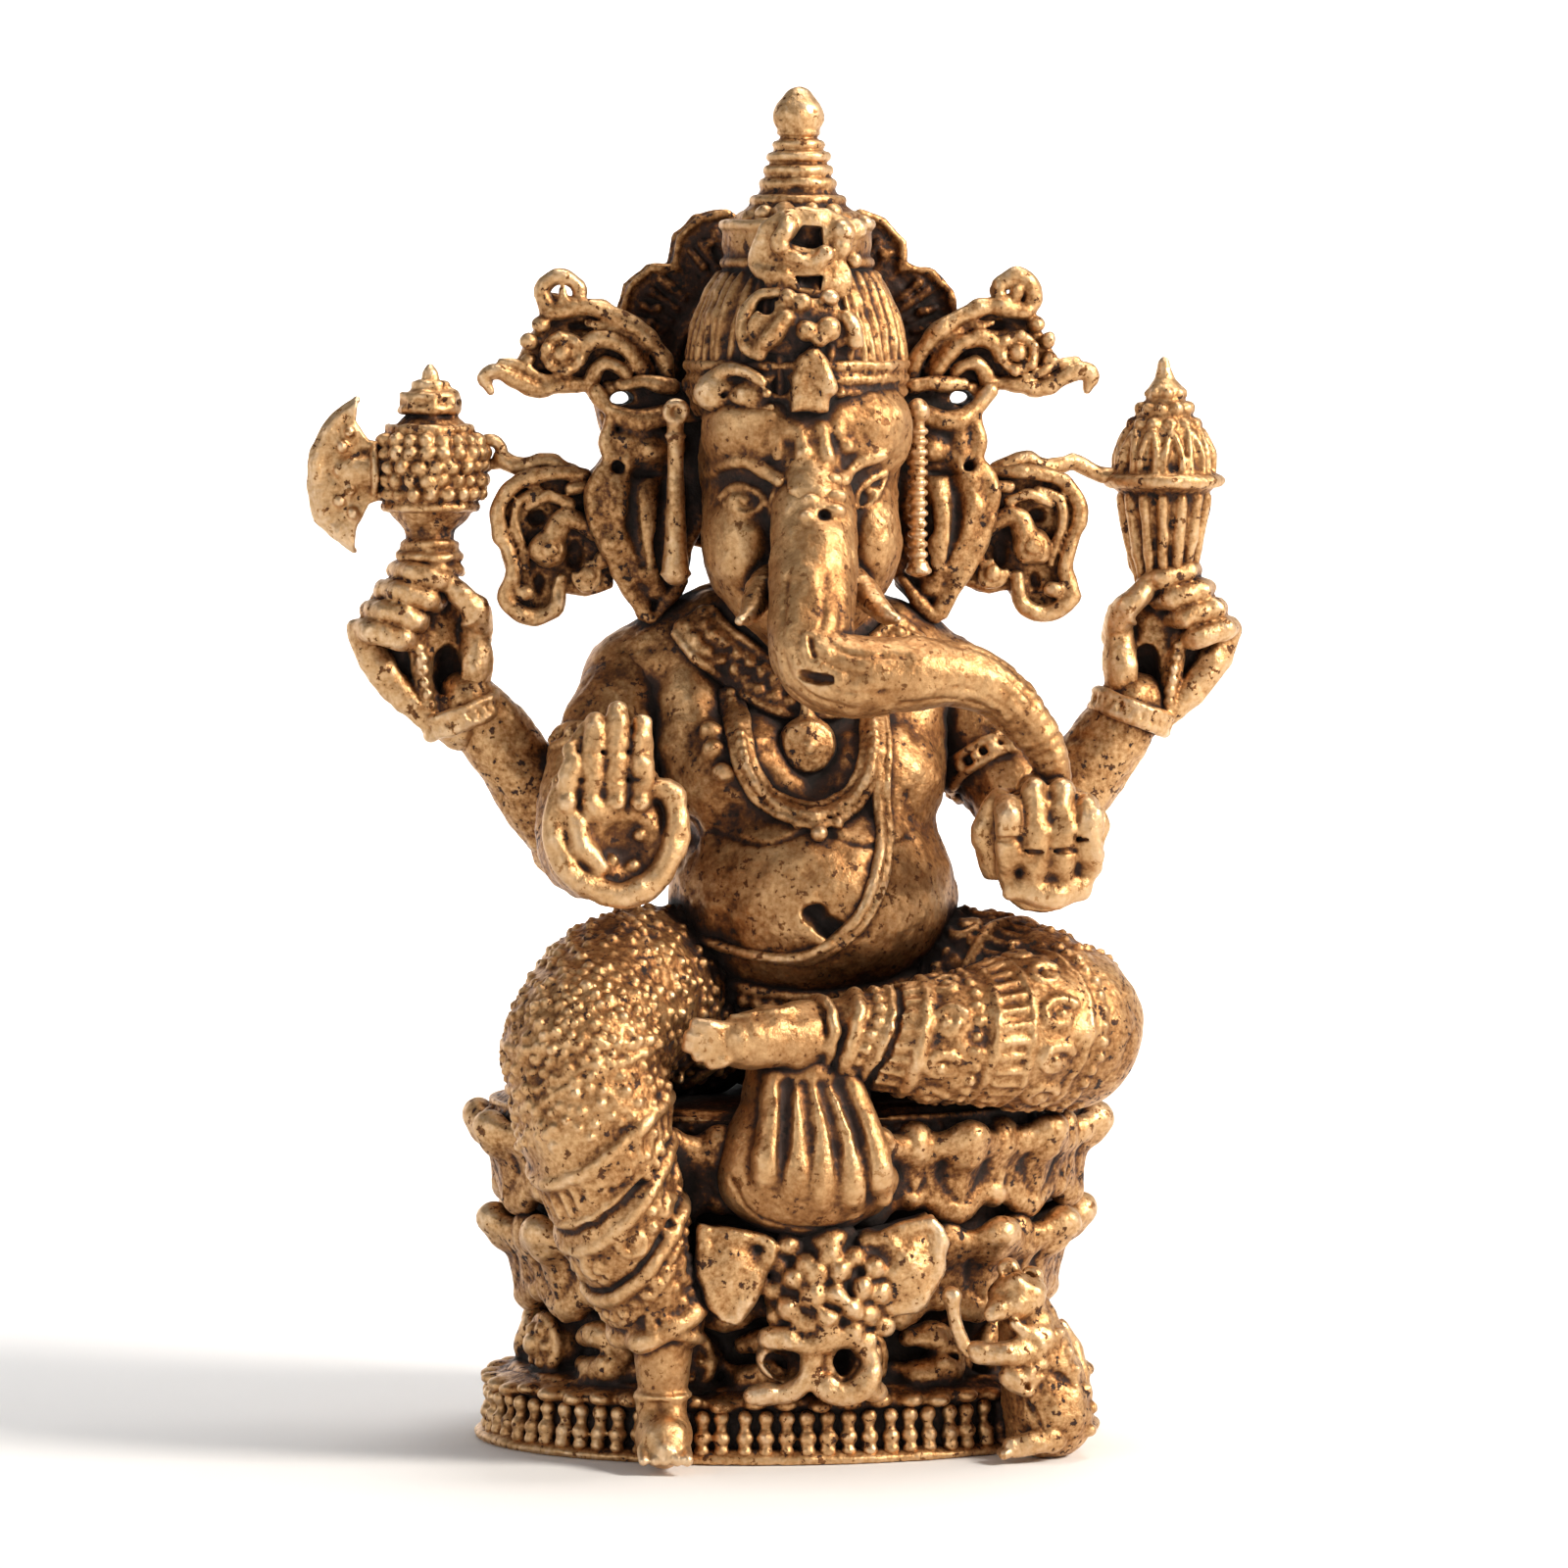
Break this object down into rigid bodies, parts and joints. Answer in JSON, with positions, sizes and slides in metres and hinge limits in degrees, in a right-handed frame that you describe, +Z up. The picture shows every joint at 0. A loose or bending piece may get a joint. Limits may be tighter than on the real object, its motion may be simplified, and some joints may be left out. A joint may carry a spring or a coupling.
{
  "type": "hindu deity statue",
  "caption": "Small cast brass elephant-headed deity with four arms, seated on a double lotus throne with a mouse at the foot.",
  "frame": {"origin": "centre of the flat underside of the plinth", "axes": "+Z up to the tip of the crown, figure faces -Y, +X to the viewer's right seen from the front"},
  "size_m": [0.0313, 0.0174, 0.045],
  "materials": {
    "brass": "antique brass casting with dark patina in the recesses",
    "bright_brass": "brass rubbed bright on the raised ornament",
    "dark_brass": "brass left dark by patina"
  },
  "bodies": {
    "root": {"base_plinth": "dark_brass", "plinth_beads": "bright_brass", "frieze_drum": "dark_brass", "lower_lotus": "brass", "upper_lotus": "brass", "seat_cushion": "dark_brass", "flower_cluster": "bright_brass", "dhoti_pleats": "bright_brass", "mouse": "brass", "mouse_staff": "brass", "torso": "brass", "collar_necklace": "bright_brass", "long_necklace": "bright_brass", "sacred_thread": "bright_brass", "waist_belt": "bright_brass", "head": "brass", "trunk": "brass", "left_tusk": "bright_brass", "right_tusk": "bright_brass", "left_ear": "brass", "right_ear": "brass", "left_ear_drop": "bright_brass", "right_ear_drop": "bright_brass", "left_upper_scroll": "brass", "right_upper_scroll": "brass", "left_lower_scroll": "brass", "right_lower_scroll": "brass", "halo_disc": "dark_brass", "crown_dome": "brass", "crown_diadem": "bright_brass", "crown_jewel": "bright_brass", "crown_spire": "bright_brass", "blessing_arm": "brass", "blessing_hand": "bright_brass", "sweet_arm": "brass", "sweet_hand": "bright_brass", "sweet_bowl": "bright_brass", "axe_upper_arm": "brass", "axe_forearm": "brass", "axe_hand": "bright_brass", "axe_pot": "brass", "axe_blade": "bright_brass", "bud_upper_arm": "brass", "bud_forearm": "brass", "bud_hand": "bright_brass", "lotus_bud": "brass", "left_strut": "brass", "right_strut": "brass", "hanging_thigh": "brass", "hanging_shin": "brass", "hanging_foot": "bright_brass", "folded_thigh": "brass", "folded_shin": "brass", "folded_foot": "bright_brass"}
  },
  "joints": []
}
